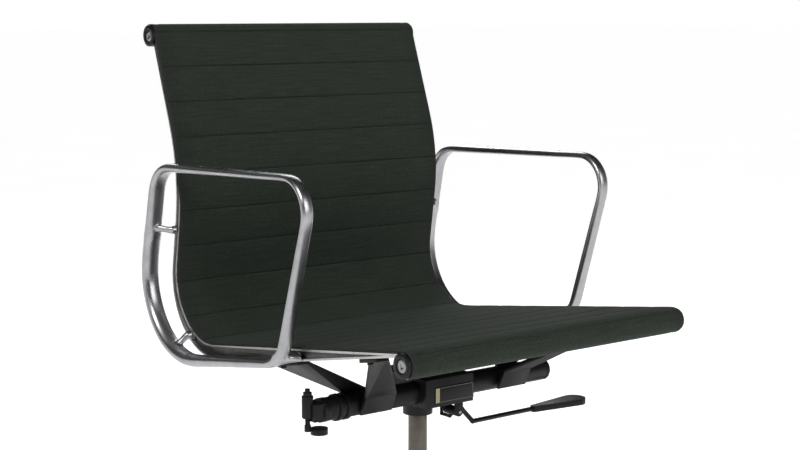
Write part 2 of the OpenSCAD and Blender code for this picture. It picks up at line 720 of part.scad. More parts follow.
// The stem ends just above the wheels' rims
stem_low = wheel_r + sqrt(pow(wheel_r, 2) - pow(trail - 3, 2));
module at_caster(k) { on_leg(k) translate([stem_circle_r, 0, 0]) children(); }
module hood() {
    color(black_plastic) difference() {
        union() {
            difference() {
                union() {
                    rod_y(-hood_w / 2, hood_w / 2, hood_r, trail, wheel_r);
                    translate([0, 0, wheel_r]) cylinder(r = neck_r, h = neck_high - wheel_r);
                }
                rod_y(-hood_w, hood_w, hood_r - hood_t, trail, wheel_r);
                block([-hood_r, -hood_w, -1], [trail + hood_r + 1, hood_w, wheel_r + 6]);
            }
            rod_y(-web_t / 2, web_t / 2, hood_r - hood_t + 0.5, trail, wheel_r);
        }
        block([-hood_r, -hood_w, -10], [trail + hood_r + 1, hood_w, 6]);
        rod_y(-hood_w, hood_w, axle_r, trail, wheel_r);
        translate([0, 0, stem_low]) cylinder(r = stem_r, h = neck_high - stem_low + 4);
    }
}
module pins() {
    color(polished) {
        translate([0, 0, stem_low]) cylinder(r = stem_r, h = stem_top - stem_low);
        half = web_t / 2 + wheel_gap + wheel_w - 2;
        rod_y(-half, half, axle_r, trail, wheel_r);
    }
}
module wheel() {
    edge = 3;
    hub = axle_r + run_clear;
    color(black_plastic) translate([trail, web_t / 2 + wheel_gap, wheel_r]) rotate([-90, 0, 0])
        rotate_extrude() polygon(concat([[hub, 0], [wheel_r - edge, 0]],
            [for (a = [-75:15:0]) [wheel_r - edge + edge * cos(a), edge + edge * sin(a)]],
            [for (a = [0:15:90]) [wheel_r - edge + edge * cos(a), wheel_w - edge + edge * sin(a)]],
            [[wheel_r - 6, wheel_w - 2], [8, wheel_w - 2], [8, wheel_w], [hub, wheel_w]]));
}
module wheel_b() { mirror([0, 1, 0]) wheel(); }

base_star();
column_sleeve();
guide_bush();
thrust_bearing();
piston_rod();
rod_clip();
gas_cylinder();
release_pin();
for (k = [1:legs]) {
    at_caster(k) hood();
    at_caster(k) pins();
    at_caster(k) wheel();
    at_caster(k) wheel_b();
}
mechanism_housing();
pivot_bushes();
label_plate();
lever_bracket();
lever_pin();
lever_rod();
lever_paddle();
pivot_tube();
tube_end_cap();
tube_collars();
torsion_bar();
tension_block();
tension_crank();
front_support_left();
front_support_right();
rear_support_left();
rear_support_right();
support_bolts();
rib_left();
rib_right();
front_roll_tube();
top_roll_tube();
end_caps();
cap_screws();
sling();
back_stretcher();
seat_stretcher();
arm_left();
arm_right();
arm_studs();
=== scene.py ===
"""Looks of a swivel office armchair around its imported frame.

Metres, +Z up, the sitter faces -Y. The frame's own meshes give the curve of the seat, the line of
the arms and the places of the studs. A length that is named below is a detail of the surface, or
the place of the small plugs along the armrests.
"""
import json
import math

import bmesh
import bpy
import numpy as np
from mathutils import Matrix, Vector


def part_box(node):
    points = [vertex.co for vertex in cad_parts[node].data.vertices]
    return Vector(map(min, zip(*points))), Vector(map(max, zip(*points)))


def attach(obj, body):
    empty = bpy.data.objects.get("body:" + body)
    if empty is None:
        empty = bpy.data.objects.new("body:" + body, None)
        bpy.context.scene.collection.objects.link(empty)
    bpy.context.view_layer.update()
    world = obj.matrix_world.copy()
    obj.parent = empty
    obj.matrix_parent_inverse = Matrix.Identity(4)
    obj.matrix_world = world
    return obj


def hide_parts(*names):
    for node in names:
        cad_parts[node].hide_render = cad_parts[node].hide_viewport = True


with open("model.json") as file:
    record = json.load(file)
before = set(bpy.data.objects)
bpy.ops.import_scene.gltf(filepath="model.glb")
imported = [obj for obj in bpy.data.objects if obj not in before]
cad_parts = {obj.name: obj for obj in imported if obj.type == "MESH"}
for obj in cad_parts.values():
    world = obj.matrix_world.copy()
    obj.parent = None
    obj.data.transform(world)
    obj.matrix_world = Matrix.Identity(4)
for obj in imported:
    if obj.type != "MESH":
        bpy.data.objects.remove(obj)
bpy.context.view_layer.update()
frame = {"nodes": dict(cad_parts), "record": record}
NODES = frame["nodes"]
BODIES = frame["record"]["behaviour"]["bodies"]
BODY_OF = {node: body for body, members in BODIES.items() for node in members}
SLOT_OF = {row["node"]: row["material_slot"] for row in frame["record"]["subparts"]}
MM = 0.001
# Corners nearer than this are one corner
SAME_PLACE = 5e-6
rng = np.random.default_rng(7)


# ---- Camera, light and floor ----

# The photograph's viewing angle: place in metres, lens in millimetres, angles in radians
CAMERA_PLACE = (-1.4277, -1.7867, 0.8956)
CAMERA_DIP = 0.13458
CAMERA_TURN = -0.66275
CAMERA_LENS = 71.517
CAMERA_SENSOR = 36
# Brightness of the room that metal mirrors, by height, and how much of it each direction keeps
ROOM = [(0.0, 0.36), (0.10, 0.26), (0.35, 0.12), (0.7, 0.20), (1.0, 0.40)]
ROOM_PATCHES = [(0.38, 0.05), (0.50, 0.38), (0.62, 1.0)]
FLOOR_HALF = 60
FLOOR_GLOW = 0.6


def make_camera():
    data = bpy.data.cameras.new("camera")
    data.sensor_width = CAMERA_SENSOR
    data.lens = CAMERA_LENS
    camera = bpy.data.objects.new("camera", data)
    camera.location = CAMERA_PLACE
    camera.rotation_euler = (math.pi / 2 - CAMERA_DIP, 0, CAMERA_TURN)
    bpy.context.scene.collection.objects.link(camera)
    bpy.context.scene.camera = camera


def area_light(name, place, target, width, height, power):
    data = bpy.data.lights.new(name, "AREA")
    data.shape = "RECTANGLE"
    data.size = width
    data.size_y = height
    data.energy = power
    light = bpy.data.objects.new(name, data)
    light.location = place
    light.rotation_euler = (Vector(target) - Vector(place)).to_track_quat("-Z", "Y").to_euler()
    bpy.context.scene.collection.objects.link(light)


def make_world():
    """A white backdrop in front of the camera; what metal mirrors is a dark room with a paler horizon."""
    world = bpy.data.worlds.new("studio")
    bpy.context.scene.world = world
    world.use_nodes = True
    tree = world.node_tree
    direction = add(tree, "ShaderNodeTexCoord").outputs["Generated"]
    split = add(tree, "ShaderNodeSeparateXYZ", {0: direction})
    room = ramp(tree, split.outputs["Z"], ROOM)
    patches = ramp(tree, noise(tree, direction, 1.7, 1.0), ROOM_PATCHES)
    room = mixed(tree, 1.0, room, patches, "MULTIPLY")
    path = add(tree, "ShaderNodeLightPath")
    shown = mixed(tree, path.outputs["Is Camera Ray"], room, (1.0, 1.0, 1.0))
    tree.links.new(shown, tree.nodes["Background"].inputs["Color"])


def sun_light(name, direction, power, spread):
    data = bpy.data.lights.new(name, "SUN")
    data.energy = power
    data.angle = math.radians(spread)
    light = bpy.data.objects.new(name, data)
    light.rotation_euler = Vector(direction).to_track_quat("-Z", "Y").to_euler()
    bpy.context.scene.collection.objects.link(light)


def make_floor():
    """A pale floor that glows a little, as a lit studio sweep does."""
    mesh = bpy.data.meshes.new("studio_floor")
    corners = [(x * FLOOR_HALF, y * FLOOR_HALF, 0) for x, y in ((-1, -1), (1, -1), (1, 1), (-1, 1))]
    mesh.from_pydata(corners, [], [(0, 1, 2, 3)])
    floor = bpy.data.objects.new("studio_floor", mesh)
    bpy.context.scene.collection.objects.link(floor)
    material, tree, shader = new_material("pale_floor")
    mottle = noise(tree, object_space(tree), 2.0, 2.0)
    tree.links.new(ramp(tree, mottle, [(0.3, 0.80), (0.7, 0.84)]), shader.inputs["Base Color"])
    shader.inputs["Roughness"].default_value = 0.9
    shader.inputs["Specular IOR Level"].default_value = 0.0
    shader.inputs["Emission Color"].default_value = (1, 1, 1, 1)
    shader.inputs["Emission Strength"].default_value = FLOOR_GLOW
    mesh.materials.append(material)


# ---- Node helpers ----

def new_material(name):
    material = bpy.data.materials.new(name)
    material.use_nodes = True
    return material, material.node_tree, material.node_tree.nodes["Principled BSDF"]


def add(tree, kind, inputs=(), **settings):
    """Adds a node. A value that is an output socket is linked, any other is set."""
    made = tree.nodes.new(kind)
    for key, value in settings.items():
        setattr(made, key, value)
    for key, value in dict(inputs).items():
        if isinstance(value, bpy.types.NodeSocket):
            tree.links.new(value, made.inputs[key])
        else:
            made.inputs[key].default_value = value
    return made


def math_node(tree, operation, a, b=0.0):
    return add(tree, "ShaderNodeMath", {0: a, 1: b}, operation=operation).outputs[0]


def ramp(tree, value, stops):
    """A colour ramp from (position, colour) stops, where a colour may be one grey number."""
    made = add(tree, "ShaderNodeValToRGB", {0: value})
    elements = made.color_ramp.elements
    while len(elements) < len(stops):
        elements.new(0.5)
    for element, (position, colour) in zip(elements, stops):
        element.position = position
        element.color = (colour, colour, colour, 1) if isinstance(colour, (int, float)) else (*colour, 1)
    return made.outputs[0]


def mapped(tree, value, old, new):
    """The value carried from one range to another, and kept inside it."""
    return add(tree, "ShaderNodeMapRange", {"Value": value, "From Min": old[0], "From Max": old[1],
                                            "To Min": new[0], "To Max": new[1]}).outputs[0]


def noise(tree, vector, scale, detail, roughness=0.5):
    return add(tree, "ShaderNodeTexNoise", {"Vector": vector, "Scale": scale, "Detail": detail,
                                            "Roughness": roughness}).outputs["Fac"]


def stretched(tree, vector, scale):
    return add(tree, "ShaderNodeMapping", {"Vector": vector, "Scale": scale}).outputs[0]


def object_space(tree):
    return add(tree, "ShaderNodeTexCoord").outputs["Object"]


def surface_space(tree):
    """Metres across and along a lofted piece, which its own map holds."""
    return add(tree, "ShaderNodeUVMap", uv_map="metres").outputs[0]


def bump(tree, height, distance, strength, normal=None):
    inputs = {"Height": height, "Distance": distance, "Strength": strength}
    if normal is not None:
        inputs["Normal"] = normal
    return add(tree, "ShaderNodeBump", inputs).outputs[0]


def mixed(tree, factor, a, b, blend="MIX"):
    made = add(tree, "ShaderNodeMix", data_type="RGBA", blend_type=blend)
    for socket, value in ((made.inputs[0], factor), (made.inputs[6], a), (made.inputs[7], b)):
        if isinstance(value, bpy.types.NodeSocket):
            tree.links.new(value, socket)
        else:
            socket.default_value = value if isinstance(value, float) else (*value, 1)
    return made.outputs[2]


# ---- Materials ----

# Where the fabric is rubbed paler, by distance from the middle
RUBBED_BAND = (0.212, 0.242)
# How far the threads wander, and how many lines a metre they make
THREAD_WANDER = 0.0009
THREAD_SCALE = 210.0


def fabric(first_channel, front_roll):
    """Very dark green-black plain weave with paler weft flecks, painted shade along the sewn channel lines
    and a little lint.
    """
    material, tree, shader = new_material("sling_fabric")
    place = surface_space(tree)
    wander = add(tree, "ShaderNodeTexNoise", {"Vector": place, "Scale": 60.0, "Detail": 2.0})
    moved = add(tree, "ShaderNodeMix", data_type="VECTOR")
    tree.links.new(place, moved.inputs[4])
    tree.links.new(wander.outputs["Color"], moved.inputs[5])
    moved.inputs[0].default_value = THREAD_WANDER
    thread = moved.outputs[1]
    warp = add(tree, "ShaderNodeTexWave", {"Vector": thread, "Scale": THREAD_SCALE, "Distortion": 0.6},
               bands_direction="X").outputs["Fac"]
    weft = add(tree, "ShaderNodeTexWave", {"Vector": thread, "Scale": THREAD_SCALE, "Distortion": 0.6},
               bands_direction="Y").outputs["Fac"]
    weave = math_node(tree, "MULTIPLY", math_node(tree, "ADD", warp, weft), 0.5)
    fleck = noise(tree, stretched(tree, place, (420, 1500, 1)), 1.0, 2.0)
    streak = noise(tree, stretched(tree, place, (16, 520, 1)), 1.0, 3.0, 0.6)
    cloud = noise(tree, place, 9.0, 4.0)
    tone = math_node(tree, "ADD", math_node(tree, "MULTIPLY", weave, 0.30),
                     math_node(tree, "ADD", math_node(tree, "MULTIPLY", fleck, 0.66),
                               math_node(tree, "MULTIPLY", streak, 0.24)))
    base = ramp(tree, tone, [(0.40, (0.0045, 0.0068, 0.0048)), (0.60, (0.0150, 0.0205, 0.0150)),
                             (0.78, (0.0580, 0.0700, 0.0550))])
    worn = mixed(tree, math_node(tree, "MULTIPLY", cloud, 0.30), base, (0.0170, 0.0220, 0.0170))
    parts = add(tree, "ShaderNodeSeparateXYZ", {0: place})
    aside = math_node(tree, "ABSOLUTE", parts.outputs["X"])
    rubbed = mapped(tree, aside, RUBBED_BAND, (0.0, 0.45))
    worn = mixed(tree, rubbed, worn, (0.0175, 0.0175, 0.0150))
    # Painted shade in the sewn grooves: a thin dark line along each channel, fainter in patches
    along = math_node(tree, "SUBTRACT", first_channel, parts.outputs["Y"])
    off_line = math_node(tree, "PINGPONG", along, CHANNEL_PITCH / 2)
    stitch_shade = mapped(tree, off_line, (0.3 * MM, 1.7 * MM), (0.5, 0.0))
    below_top = math_node(tree, "GREATER_THAN", along, -0.5 * CHANNEL_PITCH)
    behind_front = math_node(tree, "GREATER_THAN", parts.outputs["Y"], front_roll)
    stitch_shade = math_node(tree, "MULTIPLY", stitch_shade, math_node(tree, "MULTIPLY", below_top, behind_front))
    faint = ramp(tree, noise(tree, place, 7.0, 2.0), [(0.38, 0.3), (0.62, 1.0)])
    stitch_shade = math_node(tree, "MULTIPLY", stitch_shade, faint)
    # The fabric colour takes the painted groove shade here, on top of its wear
    worn = mixed(tree, stitch_shade, worn, (0.0012, 0.0015, 0.0013))
    lint = add(tree, "ShaderNodeTexVoronoi", {"Vector": place, "Scale": 34.0, "Randomness": 1.0})
    speck = math_node(tree, "LESS_THAN", lint.outputs["Distance"], 0.022)
    rare = math_node(tree, "GREATER_THAN",
                     add(tree, "ShaderNodeSeparateColor", {0: lint.outputs["Color"]}).outputs[0], 0.93)
    colour = mixed(tree, math_node(tree, "MULTIPLY", speck, rare), worn, (0.30, 0.32, 0.30))
    tree.links.new(colour, shader.inputs["Base Color"])
    shader.inputs["Roughness"].default_value = 0.9
    shader.inputs["Specular IOR Level"].default_value = 0.15
    shader.inputs["Sheen Weight"].default_value = 0.07
    shader.inputs["Sheen Roughness"].default_value = 0.5
    shader.inputs["Sheen Tint"].default_value = (0.70, 0.76, 0.70, 1)
    height = math_node(tree, "ADD", math_node(tree, "MULTIPLY", weave, 0.6),
                       math_node(tree, "MULTIPLY", fleck, 0.8))
    tree.links.new(bump(tree, height, 0.0004, 0.8), shader.inputs["Normal"])
    return material


def metal(name, colour, smooth, rough, wear=0.5, scratches=0.5, recess_shade_below=None):
    """Polished metal with clouded roughness, fine scratches and soft dents.

    Faces that look out sideways from nearer the middle than the last argument lie in a recess, and get a
    painted shade there.
    """
    material, tree, shader = new_material(name)
    place = object_space(tree)
    cloud = noise(tree, place, 14.0, 5.0, 0.6)
    fine = noise(tree, place, 95.0, 4.0, 0.6)
    line = noise(tree, stretched(tree, place, (900, 900, 60)), 1.0, 3.0, 0.7)
    haze = math_node(tree, "ADD", math_node(tree, "MULTIPLY", cloud, 0.6),
                     math_node(tree, "MULTIPLY", fine, 0.4))
    haze = math_node(tree, "ADD", haze, math_node(tree, "MULTIPLY", line, scratches * 0.4))
    roughness = mapped(tree, haze, (0.38, 0.82), (smooth, rough))
    dull = tuple(c * (1 - 0.45 * wear) for c in colour)
    tint = ramp(tree, haze, [(0.36, colour), (0.72, dull)])
    # Painted shade: outward-looking faces inside the recess are mixed most of the way to a dark grey
    if recess_shade_below:
        parts = add(tree, "ShaderNodeSeparateXYZ", {0: place})
        looks = add(tree, "ShaderNodeSeparateXYZ", {0: add(tree, "ShaderNodeTexCoord").outputs["Normal"]})
        side = math_node(tree, "SIGN", parts.outputs["X"])
        outward = math_node(tree, "MULTIPLY", side, looks.outputs["X"])
        inside = math_node(tree, "LESS_THAN", math_node(tree, "ABSOLUTE", parts.outputs["X"]), recess_shade_below)
        recess = math_node(tree, "MULTIPLY", inside, math_node(tree, "GREATER_THAN", outward, 0.5))
        tint = mixed(tree, math_node(tree, "MULTIPLY", recess, 0.8), tint, (0.03, 0.03, 0.03))
    tree.links.new(tint, shader.inputs["Base Color"])
    tree.links.new(roughness, shader.inputs["Roughness"])
    shader.inputs["Metallic"].default_value = 1.0
    dent = bump(tree, noise(tree, place, 26.0, 2.0), 0.0006, 0.35)
    tree.links.new(bump(tree, math_node(tree, "ADD", math_node(tree, "MULTIPLY", line, 0.7), fine),
                        0.00012, scratches, dent), shader.inputs["Normal"])
    return material


def painted(name, colour, rough, grain, worn=(0.10, 0.10, 0.10)):
    """Satin paint or moulded plastic: a fine grain, patchy gloss and rubbed spots."""
    material, tree, shader = new_material(name)
    place = object_space(tree)
    cloud = noise(tree, place, 18.0, 5.0, 0.62)
    fine = noise(tree, place, grain, 3.0, 0.6)
    rub = ramp(tree, noise(tree, place, 55.0, 6.0, 0.75), [(0.66, 0.0), (0.74, 0.55)])
    base = ramp(tree, cloud, [(0.3, colour), (0.75, tuple(c * 1.9 for c in colour))])
    tree.links.new(mixed(tree, rub, base, worn), shader.inputs["Base Color"])
    gloss = mapped(tree, cloud, (0.3, 0.7), (rough * 0.75, rough * 1.25))
    tree.links.new(gloss, shader.inputs["Roughness"])
    shader.inputs["Specular IOR Level"].default_value = 0.2
    tree.links.new(bump(tree, fine, 0.00018, 0.5), shader.inputs["Normal"])
    return material


def make_materials():
    return {
        "polished_cast": metal("polished_cast", (0.44, 0.44, 0.455), 0.22, 0.42, 0.45, 0.35),
        # The rib's recessed outer web gets a painted shade, on faces within 3.5 mm of the rib's outer face
        "polished_rib": metal("polished_rib", (0.52, 0.51, 0.50), 0.22, 0.45, 0.6, 0.5,
                              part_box("rib_right")[1].x - 3.5 * MM),
        "bright_steel": metal("bright_steel", (0.33, 0.33, 0.33), 0.2, 0.4),
        "column_steel": metal("column_steel", (0.13, 0.115, 0.100), 0.12, 0.26, 0.5, 0.35),
        "black_steel": painted("black_steel", (0.0045, 0.0048, 0.0048), 0.42, 520.0),
        "black_plastic": painted("black_plastic", (0.0045, 0.0045, 0.0048), 0.42, 900.0,
                                 (0.09, 0.09, 0.09)),
        "wheel_plastic": painted("wheel_plastic", (0.007, 0.007, 0.008), 0.30, 700.0),
        "label_black": painted("label_black", (0.006, 0.006, 0.0065), 0.35, 1200.0, (0.03, 0.03, 0.03)),
        "printed_line": painted("printed_line", (0.16, 0.16, 0.15), 0.5, 900.0, (0.3, 0.3, 0.28)),
        "old_paper": painted("old_paper", (0.30, 0.26, 0.17), 0.7, 700.0, (0.5, 0.46, 0.34)),
    }


# ---- Reading the frame ----

def coords(node):
    mesh = NODES[node].data
    flat = np.empty(len(mesh.vertices) * 3, np.float32)
    mesh.vertices.foreach_get("co", flat)
    return flat.reshape(-1, 3).astype(float)


def loops_at(node, x, near=2e-5):
    """The (y, z) loops that bound a node's flat faces at one X, each in order, the longest first."""
    points = coords(node)
    flat = np.abs(points[:, 0] - x) < near
    keys = [tuple(k) for k in np.round(points[:, 1:] / SAME_PLACE).astype(int)]
    place = {}
    uses = {}
    for face in NODES[node].data.polygons:
        corners = list(face.vertices)
        if not all(flat[v] for v in corners):
            continue
        for a, b in zip(corners, corners[1:] + corners[:1]):
            place[keys[a]] = points[a, 1:]
            edge = frozenset((keys[a], keys[b]))
            uses[edge] = uses.get(edge, 0) + 1
    joined = {}
    for edge, count in uses.items():
        if count == 1 and len(edge) == 2:
            a, b = edge
            joined.setdefault(a, []).append(b)
            joined.setdefault(b, []).append(a)
    loops = []
    while joined:
        start = next(iter(joined))
        loop = [start]
        while True:
            onward = joined.get(loop[-1])
            if not onward:
                break
            step = onward.pop()
            joined[step].remove(loop[-1])
            if step == start:
                break
            loop.append(step)
        joined = {k: v for k, v in joined.items() if v}
        loops.append(np.array([place[k] for k in loop]))
    return sorted(loops, key=len_of, reverse=True)


def len_of(line):
    return float(np.linalg.norm(np.diff(line, axis=0), axis=1).sum()) if len(line) > 1 else 0.0


def lengths(line):
    return np.concatenate([[0], np.cumsum(np.linalg.norm(np.diff(line, axis=0), axis=1))])


def blend(u, v, start, end, t):
    """The point between u at start and v at end."""
    return u * (end - t) / (end - start) + v * (t - start) / (end - start)


def smooth_line(points, step, closed=False):
    """Even points on a centripetal Catmull-Rom curve through the given ones."""
    p = np.asarray(points, float)
    ends = (p[-1:], p[:2]) if closed else (2 * p[:1] - p[1:2], 2 * p[-1:] - p[-2:-1])
    q = np.concatenate([ends[0], p, ends[1]])
    fine = []
    for i in range(len(q) - 3):
        a, b, c, d = q[i:i + 4]
        gaps = [max(np.linalg.norm(v - u), 1e-9) ** 0.5 for u, v in ((a, b), (b, c), (c, d))]
        k0, k1, k2, k3 = np.cumsum([0] + gaps)
        for t in np.linspace(k1, k2, 13)[:-1]:
            first, middle, last = blend(a, b, k0, k1, t), blend(b, c, k1, k2, t), blend(c, d, k2, k3, t)
            fine.append(blend(blend(first, middle, k0, k2, t), blend(middle, last, k1, k3, t), k1, k2, t))
    fine.append(p[0] if closed else p[-1])
    fine = np.array(fine)
    run = lengths(fine[:, :2])
    count = max(int(round(run[-1] / step)), 4)
    at = np.linspace(0, run[-1], count + 1)
    even = np.stack([np.interp(at, run, fine[:, k]) for k in range(fine.shape[1])], 1)
    return even[:-1] if closed else even


def turn_normals(line, closed=False):
    """Unit normals to the left of a (y, z) line."""
    if closed:
        along = np.roll(line, -1, 0) - np.roll(line, 1, 0)
    else:
        along = np.gradient(line, axis=0)
    along /= np.linalg.norm(along, axis=1)[:, None]
    return np.stack([-along[:, 1], along[:, 0]], 1)


def islands(node):
    """A node's separate solids, each as an array of its corner points."""
    points = coords(node)
    keys = np.round(points / SAME_PLACE).astype(int)
    group = {}
    parent = {}

    def root(k):
        while parent[k] != k:
            parent[k] = parent[parent[k]]
            k = parent[k]
        return k
    for face in NODES[node].data.polygons:
        corners = [tuple(keys[v]) for v in face.vertices]
        for c in corners:
            parent.setdefault(c, c)
        for c in corners[1:]:
            parent[root(c)] = root(corners[0])
    for v in range(len(points)):
        k = tuple(keys[v])
        if k in parent:
            group.setdefault(root(k), []).append(points[v])
    return [np.array(g) for g in group.values()]


def stud_places():
    """The (y, z) of the right side's three studs: the foot, the one at the bend and the upper one."""
    places = [island.mean(0)[1:] for island in islands("arm_studs") if island[:, 0].mean() > 0]
    return sorted(places, key=lambda place: place[0])


# ---- Mesh helpers ----

def new_piece(name, verts, faces, material, body, smooth=True):
    mesh = bpy.data.meshes.new(name)
    mesh.from_pydata([tuple(map(float, v)) for v in verts], [], [tuple(map(int, f)) for f in faces])
    mesh.update()
    mesh.polygons.foreach_set("use_smooth", [smooth] * len(mesh.polygons))
    piece = bpy.data.objects.new(name, mesh)
    bpy.context.scene.collection.objects.link(piece)
    piece.data.materials.append(material)
    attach(piece, body)
    return piece


def grid_faces(rows, columns, close_rows=False):
    """Quads of a grid of points, row by row, where each row is a ring."""
    faces = []
    for i in range(rows if close_rows else rows - 1):
        for k in range(columns):
            a, b = i * columns + k, i * columns + (k + 1) % columns
            c, d = (i + 1) % rows * columns + (k + 1) % columns, (i + 1) % rows * columns + k
            faces.append((a, b, c, d))
    return faces


def recalculate(piece):
    """Turns every face outward."""
    work = bmesh.new()
    work.from_mesh(piece.data)
    bmesh.ops.recalc_face_normals(work, faces=work.faces)
    work.to_mesh(piece.data)
    work.free()


def metre_map(mesh, across, along):
    """Stores each vertex's place on the surface in metres."""
    layer = mesh.uv_layers.new(name="metres")
    values = [(across[loop.vertex_index], along[loop.vertex_index]) for loop in mesh.loops]
    layer.data.foreach_set("uv", np.array(values).ravel())


# Degrees: faces flatter than the first merge, edges over the second are rounded, over the third stay crisp
FLAT_ANGLE = 0.5
EDGE_ANGLE = 28
SHARP_ANGLE = 32


def apply_modifiers(piece):
    graph = bpy.context.evaluated_depsgraph_get()
    made = bpy.data.meshes.new_from_object(piece.evaluated_get(graph))
    piece.modifiers.clear()
    piece.data = made


def softened(node, material, width):
    """A copy of a CAD node with its edges rounded, which stands for the node."""
    source = NODES[node].data
    work = bmesh.new()
    work.from_mesh(source)
    bmesh.ops.remove_doubles(work, verts=work.verts, dist=1e-6)
    bmesh.ops.dissolve_limit(work, angle_limit=math.radians(FLAT_ANGLE), verts=work.verts, edges=work.edges)
    mesh = bpy.data.meshes.new(node + "_finish")
    work.to_mesh(mesh)
    work.free()
    mesh.materials.clear()
    mesh.materials.append(material)
    piece = bpy.data.objects.new(mesh.name, mesh)
    bpy.context.scene.collection.objects.link(piece)
    rounding = piece.modifiers.new("rounding", "BEVEL")
    rounding.width = width
    rounding.segments = 2
    rounding.limit_method = "ANGLE"
    rounding.angle_limit = math.radians(EDGE_ANGLE)
    rounding.use_clamp_overlap = True
    rounding.harden_normals = False
    apply_modifiers(piece)
    piece.data.polygons.foreach_set("use_smooth", [True] * len(piece.data.polygons))
    piece.data.set_sharp_from_angle(angle=math.radians(SHARP_ANGLE))
    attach(piece, BODY_OF[node])
    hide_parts(node)


# ---- The padded sling ----

# Sewn channels: their spacing, the first one below the top roll, the groove and the pillow between
CHANNEL_PITCH = 54.8 * MM
FIRST_CHANNEL = 2 * MM
STITCH_W = 1.1 * MM
STITCH_DEPTH = 1.2 * MM
PILLOW = 1.5 * MM
PILLOW_POWER = 0.7
# The pillows flatten towards the edge, where this share of the groove is left
TIGHT_BAND = 26 * MM
TIGHT_POWER = 0.6
GROOVE_AT_EDGE = 0.3
# The hem beside the edge
HEM_IN = 11 * MM
HEM_W = 1.3 * MM
HEM_DEPTH = 0.5 * MM
# The edge: its lap over the rib's flange, over a roll's end and round the rib on the upper back
EDGE_ROUND = 2.4 * MM
LIP_T = 2.7 * MM
ROLL_LIP_T = 0.8 * MM
WRAP_T = 6.3 * MM
# The lap ends short of the rib's outer face, and the wrap goes past it
LIP_SHORT = 0.5 * MM
WRAP_OVER = 0.9 * MM
# The wrap begins and is complete this far above the upper stud
WRAP_START = 15 * MM
WRAP_END = 75 * MM
# Degrees round the edge's nose
NOSE_TURNS = (22, 45, 68, 90)
# Rows of the mesh along the curve, closer beside each sewn line in millimetres, and its columns
ROW_STEP = 4 * MM
ROWS_BY_LINE = [-3.4, -2.0, -1.2, -0.6, 0.0, 0.6, 1.2, 2.0, 3.4]
LEAST_ROW = 0.35 * MM
FACE_COLUMNS = 96
BACK_COLUMNS = 33
# The rolls bend more than this, in radians a metre, and lie in this share of the curve at each end
ROLL_BEND = 35
ROLL_SHARE = 0.2
# Where the pillows give way to a roll, from before to after the roll's start
TOP_BLEND = (-4 * MM, 8 * MM)
FRONT_BLEND = (-6 * MM, 14 * MM)
# Creases in all, how many of them lie where the seat turns up, and where that is along the curve
CREASES = 26
BEND_CREASES = 16
BEND_AT = 0.47


def sling_skins():
    """The sling's padded skin and back skin as (y, z) lines from front to top.

    They are the two long sides of its outline, between its four sharpest corners.
    """
    loop = loops_at("sling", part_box("sling")[1].x)[0]
    before = loop - np.roll(loop, 1, 0)
    after = np.roll(loop, -1, 0) - loop
    cross = before[:, 0] * after[:, 1] - before[:, 1] * after[:, 0]
    turn = np.abs(np.arctan2(cross, (before * after).sum(1)))
    corners = sorted(np.argsort(-turn)[:4])
    sides = []
    for a, b in zip(corners, corners[1:] + [corners[0] + len(loop)]):
        sides.append(loop[[i % len(loop) for i in range(a, b + 1)]])
    sides.sort(key=len_of)
    skins = [side if side[0, 0] < side[-1, 0] else side[::-1] for side in sides[2:]]
    skins.sort(key=lambda side: side[:, 0].min())
    return skins


def fade(value, start, end):
    """A soft step from 0 at start to 1 at end."""
    t = np.clip((value - start) / (end - start), 0, 1)
    return t * t * (3 - 2 * t)


def sling_shape():
    """The padded face as a fine line, with its normals, its length and the ends of the two rolls."""
    skins = sling_skins()
    line = smooth_line(skins[0], 1.0 * MM)
    run = lengths(line)
    # Both rolls bend far tighter than the rest of the curve
    heading = np.unwrap(np.arctan2(np.gradient(line[:, 1]), np.gradient(line[:, 0])))
    bent = run[np.abs(np.gradient(heading, run)) > ROLL_BEND]
    roll_start = bent[bent > run[-1] * (1 - ROLL_SHARE)].min()
    roll_end = bent[bent < run[-1] * ROLL_SHARE].max()
    thickness = float(np.linalg.norm(skins[0][0] - skins[1][0]))
    return {"line": line, "normals": turn_normals(line), "run": run, "top": roll_start, "front": roll_end,
            "thickness": thickness}


def channel_places(shape):
    """Distances of the sewn lines along the face, from the top roll down."""
    first = shape["top"] - FIRST_CHANNEL
    return np.arange(first, shape["front"] - CHANNEL_PITCH * 0.3, -CHANNEL_PITCH)


